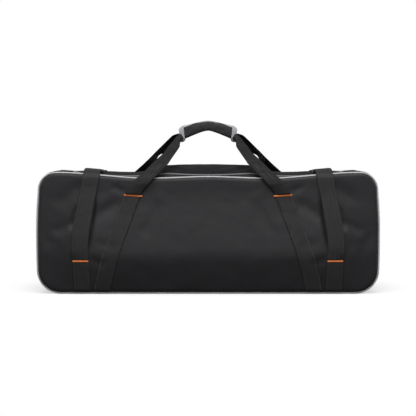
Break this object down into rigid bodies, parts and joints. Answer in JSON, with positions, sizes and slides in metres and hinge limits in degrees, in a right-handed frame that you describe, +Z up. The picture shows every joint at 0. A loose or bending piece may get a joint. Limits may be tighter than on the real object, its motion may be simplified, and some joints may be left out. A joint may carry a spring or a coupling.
{
  "type": "telescope carry case",
  "caption": "Long soft-sided padded carry case with piped edges, webbing straps, a zipped fold-down front lid, movable dividers and a pair of handle loops that meet in a bound padded grip.",
  "frame": {"origin": "centre of the case's footprint on the surface it stands on", "axes": "+X along the case to the right as seen from the front, -Y out of the front lid, +Z up"},
  "size_m": [0.777, 0.2446, 0.3925],
  "materials": {
    "shell_fabric": "black coated woven polyester, slight sheen",
    "webbing": "black polypropylene webbing, ribbed weave",
    "piping": "grey woven piping cord",
    "binding": "grey woven binding tape",
    "grip_fabric": "black padded grip fabric",
    "bartack_thread": "orange polyester thread",
    "padding": "closed-cell polyethylene foam",
    "lining_fabric": "dark grey brushed lining",
    "stiffener": "extruded polypropylene board",
    "zip_tape": "black woven zip tape",
    "zip_coil": "black nylon coil",
    "zip_metal": "black enamelled zinc",
    "hook_and_loop": "black hook-and-loop tape"
  },
  "bodies": {
    "case_body": {"base_panel": "shell_fabric", "top_panel": "shell_fabric", "end_panel_left": "shell_fabric", "end_panel_right": "shell_fabric", "back_panel": "shell_fabric", "foam_base": "padding", "foam_top": "padding", "foam_end_left": "padding", "foam_end_right": "padding", "foam_back": "padding", "base_board": "stiffener", "body_lining": "lining_fabric", "rim_piping": "piping", "back_piping": "piping", "zip_coil_body": "zip_coil", "zip_tape_body": "zip_tape", "lid_hinge_strip": "shell_fabric", "rear_handle_strap_left": "webbing", "rear_handle_strap_right": "webbing", "rear_closure_strap_left": "webbing", "rear_closure_strap_right": "webbing", "rear_bartacks": "bartack_thread", "top_closure_strap_left": "webbing", "top_closure_strap_right": "webbing", "closure_loops": "hook_and_loop"},
    "front_lid": {"front_panel": "shell_fabric", "foam_front": "padding", "lid_lining": "lining_fabric", "front_piping": "piping", "zip_tape_lid": "zip_tape", "zip_coil_lid": "zip_coil", "front_handle_strap_left": "webbing", "front_handle_strap_right": "webbing", "front_closure_strap_left": "webbing", "front_closure_strap_right": "webbing", "front_bartacks": "bartack_thread"},
    "front_handle": {"front_handle_leg_left": "webbing", "front_handle_leg_right": "webbing", "front_grip_pad": "grip_fabric", "front_grip_core": "webbing", "front_grip_binding": "binding"},
    "rear_handle": {"rear_handle_leg_left": "webbing", "rear_handle_leg_right": "webbing", "rear_grip_pad": "grip_fabric", "rear_grip_core": "webbing", "rear_grip_binding": "binding"},
    "closure_left": {"closure_strap_left": "webbing", "closure_tail_left": "webbing", "closure_hook_left": "hook_and_loop"},
    "zip_slider_body_left": {"zip_slider_left": "zip_metal"},
    "zip_pull_body_left": {"zip_pull_left": "zip_metal"},
    "divider_body_left": {"divider_left": "lining_fabric", "divider_hook_left": "hook_and_loop"},
    "closure_right": {"closure_strap_right": "webbing", "closure_tail_right": "webbing", "closure_hook_right": "hook_and_loop"},
    "zip_slider_body_right": {"zip_slider_right": "zip_metal"},
    "zip_pull_body_right": {"zip_pull_right": "zip_metal"},
    "divider_body_right": {"divider_right": "lining_fabric", "divider_hook_right": "hook_and_loop"}
  },
  "joints": [
    {"name": "lid_hinge", "type": "hinge", "parent": "case_body", "child": "front_lid", "pos_m": [0, -0.107, 0.004], "axis": [1, 0, 0], "range_deg": [0, 75]},
    {"name": "front_handle_swing", "type": "hinge", "parent": "front_lid", "child": "front_handle", "pos_m": [0, -0.1211, 0.2251], "axis": [1, 0, 0], "range_deg": [0, 150]},
    {"name": "rear_handle_swing", "type": "hinge", "parent": "case_body", "child": "rear_handle", "pos_m": [0, 0.1211, 0.2251], "axis": [-1, 0, 0], "range_deg": [0, 150]},
    {"name": "closure_left_swing", "type": "hinge", "parent": "front_lid", "child": "closure_left", "pos_m": [-0.2875, -0.1211, 0.0776], "axis": [1, 0, 0], "range_deg": [0, 100]},
    {"name": "closure_right_swing", "type": "hinge", "parent": "front_lid", "child": "closure_right", "pos_m": [0.2875, -0.1211, 0.0776], "axis": [1, 0, 0], "range_deg": [0, 100]},
    {"name": "zip_slide_left", "type": "slide", "parent": "case_body", "child": "zip_slider_body_left", "axis": [-1, 0, 0], "range_m": [0, 0.31]},
    {"name": "zip_slide_right", "type": "slide", "parent": "case_body", "child": "zip_slider_body_right", "axis": [1, 0, 0], "range_m": [0, 0.31]},
    {"name": "zip_pull_left_lift", "type": "hinge", "parent": "zip_slider_body_left", "child": "zip_pull_body_left", "pos_m": [-0.008, -0.0945, 0.2665], "axis": [0, 1, 0], "range_deg": [0, 90]},
    {"name": "zip_pull_right_lift", "type": "hinge", "parent": "zip_slider_body_right", "child": "zip_pull_body_right", "pos_m": [0.008, -0.0945, 0.2665], "axis": [0, -1, 0], "range_deg": [0, 90]},
    {"name": "divider_slide_left", "type": "slide", "parent": "case_body", "child": "divider_body_left", "axis": [1, 0, 0], "range_m": [-0.06, 0.06]},
    {"name": "divider_slide_right", "type": "slide", "parent": "case_body", "child": "divider_body_right", "axis": [1, 0, 0], "range_m": [-0.06, 0.06]}
  ]
}
